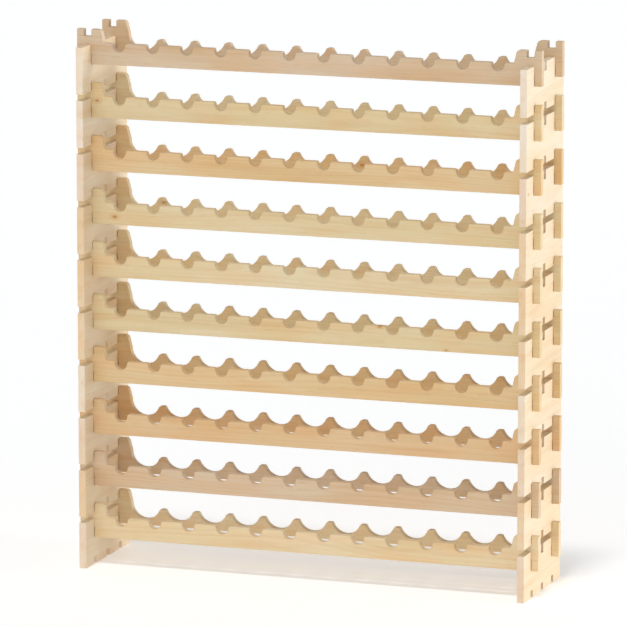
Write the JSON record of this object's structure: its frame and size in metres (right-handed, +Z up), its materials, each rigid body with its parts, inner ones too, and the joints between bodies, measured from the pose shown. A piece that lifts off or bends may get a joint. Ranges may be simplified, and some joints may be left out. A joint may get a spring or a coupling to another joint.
{
  "type": "wine rack",
  "caption": "Free-standing stacking wine rack: pine end boards on edge and scalloped rails that interlock with cross-lap slots, bottles lying front to back.",
  "frame": {"origin": "on the floor under the middle of the rack", "axes": "+Z up, X along the rails, -Y the front where the bottle necks lie"},
  "size_m": [1.2, 0.305, 1.3525],
  "materials": {
    "board_pine": "unfinished planed pine, pale, satin",
    "front_rail_pine": "unfinished planed pine, satin",
    "rear_rail_pine": "unfinished planed pine, satin"
  },
  "bodies": {
    "tier_01": {"end_board_left_01": "board_pine", "end_board_right_01": "board_pine", "front_rail_01": "front_rail_pine", "rear_rail_01": "rear_rail_pine"},
    "tier_02": {"end_board_left_02": "board_pine", "end_board_right_02": "board_pine", "front_rail_02": "front_rail_pine", "rear_rail_02": "rear_rail_pine"},
    "tier_03": {"end_board_left_03": "board_pine", "end_board_right_03": "board_pine", "front_rail_03": "front_rail_pine", "rear_rail_03": "rear_rail_pine"},
    "tier_04": {"end_board_left_04": "board_pine", "end_board_right_04": "board_pine", "front_rail_04": "front_rail_pine", "rear_rail_04": "rear_rail_pine"},
    "tier_05": {"end_board_left_05": "board_pine", "end_board_right_05": "board_pine", "front_rail_05": "front_rail_pine", "rear_rail_05": "rear_rail_pine"},
    "tier_06": {"end_board_left_06": "board_pine", "end_board_right_06": "board_pine", "front_rail_06": "front_rail_pine", "rear_rail_06": "rear_rail_pine"},
    "tier_07": {"end_board_left_07": "board_pine", "end_board_right_07": "board_pine", "front_rail_07": "front_rail_pine", "rear_rail_07": "rear_rail_pine"},
    "tier_08": {"end_board_left_08": "board_pine", "end_board_right_08": "board_pine", "front_rail_08": "front_rail_pine", "rear_rail_08": "rear_rail_pine"},
    "tier_09": {"end_board_left_09": "board_pine", "end_board_right_09": "board_pine", "front_rail_09": "front_rail_pine", "rear_rail_09": "rear_rail_pine"},
    "tier_10": {"end_board_left_10": "board_pine", "end_board_right_10": "board_pine"},
    "top_front_rail": {"front_rail_10": "front_rail_pine"},
    "top_rear_rail": {"rear_rail_10": "rear_rail_pine"}
  },
  "joints": [
    {"name": "tier_02_lift", "type": "slide", "parent": "tier_01", "child": "tier_02", "axis": [0, 0, 1], "range_m": [0, 0.06]},
    {"name": "tier_03_lift", "type": "slide", "parent": "tier_02", "child": "tier_03", "axis": [0, 0, 1], "range_m": [0, 0.06]},
    {"name": "tier_04_lift", "type": "slide", "parent": "tier_03", "child": "tier_04", "axis": [0, 0, 1], "range_m": [0, 0.06]},
    {"name": "tier_05_lift", "type": "slide", "parent": "tier_04", "child": "tier_05", "axis": [0, 0, 1], "range_m": [0, 0.06]},
    {"name": "tier_06_lift", "type": "slide", "parent": "tier_05", "child": "tier_06", "axis": [0, 0, 1], "range_m": [0, 0.06]},
    {"name": "tier_07_lift", "type": "slide", "parent": "tier_06", "child": "tier_07", "axis": [0, 0, 1], "range_m": [0, 0.06]},
    {"name": "tier_08_lift", "type": "slide", "parent": "tier_07", "child": "tier_08", "axis": [0, 0, 1], "range_m": [0, 0.06]},
    {"name": "tier_09_lift", "type": "slide", "parent": "tier_08", "child": "tier_09", "axis": [0, 0, 1], "range_m": [0, 0.06]},
    {"name": "tier_10_lift", "type": "slide", "parent": "tier_09", "child": "tier_10", "axis": [0, 0, 1], "range_m": [0, 0.06]},
    {"name": "top_front_rail_lift", "type": "slide", "parent": "tier_10", "child": "top_front_rail", "axis": [0, 0, 1], "range_m": [0, 0.06]},
    {"name": "top_rear_rail_lift", "type": "slide", "parent": "tier_10", "child": "top_rear_rail", "axis": [0, 0, 1], "range_m": [0, 0.06]}
  ]
}
